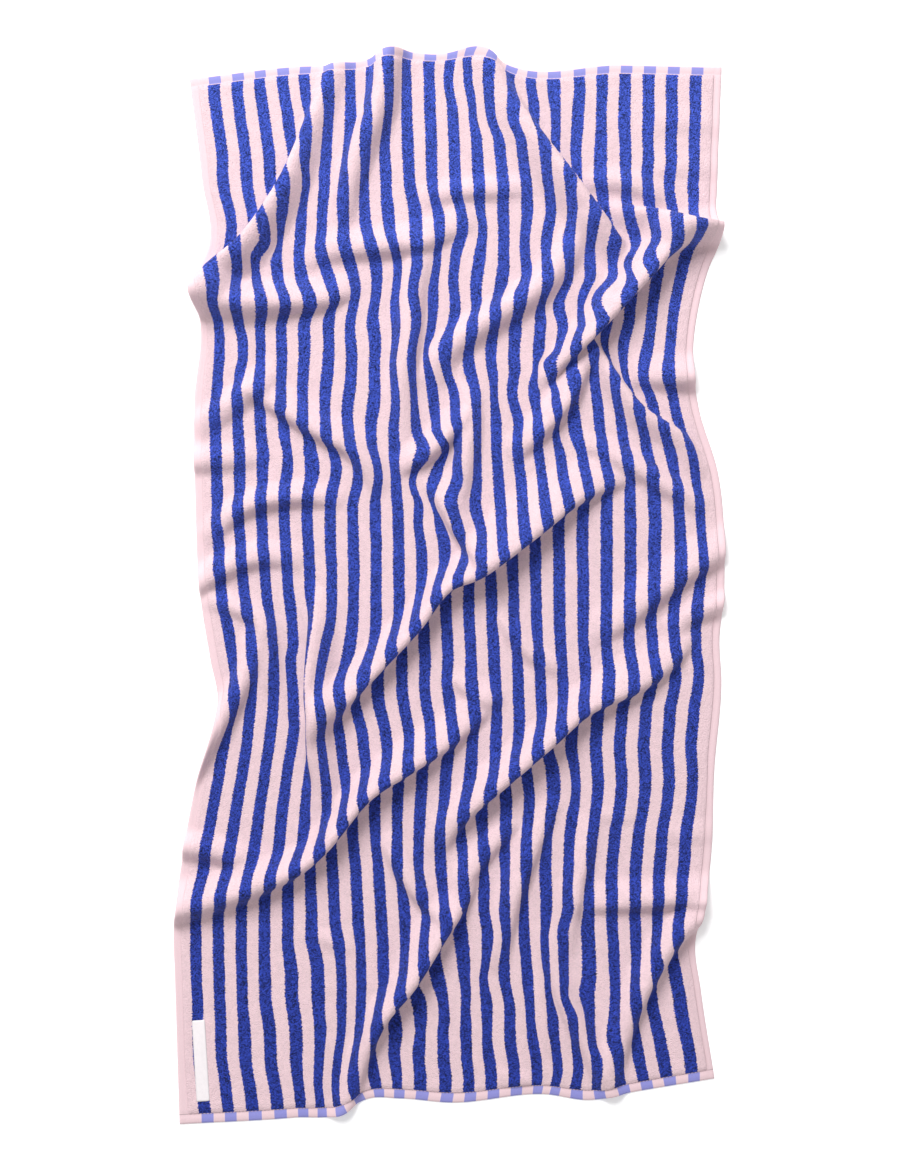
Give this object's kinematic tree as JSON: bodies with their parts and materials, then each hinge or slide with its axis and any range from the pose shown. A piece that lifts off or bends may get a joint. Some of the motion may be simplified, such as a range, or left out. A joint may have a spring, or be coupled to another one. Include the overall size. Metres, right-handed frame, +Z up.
{
  "type": "bath towel",
  "caption": "Striped terry bath towel laid out flat on a level surface, rumpled by soft diagonal folds, hemmed all round, with a small woven label near a corner.",
  "frame": {"origin": "middle of the towel's footprint, on the surface that it lies on", "axes": "+X across the towel, +Y along it towards the hem away from the label, +Z up off the surface"},
  "size_m": [0.6782, 1.3316, 0.0445],
  "materials": {
    "terry": "looped terry pile, pale pink with even blue stripes along its length",
    "label_tape": "smooth white woven tape, left bare"
  },
  "bodies": {
    "root": {"towel": "terry", "label": "label_tape"}
  },
  "joints": []
}
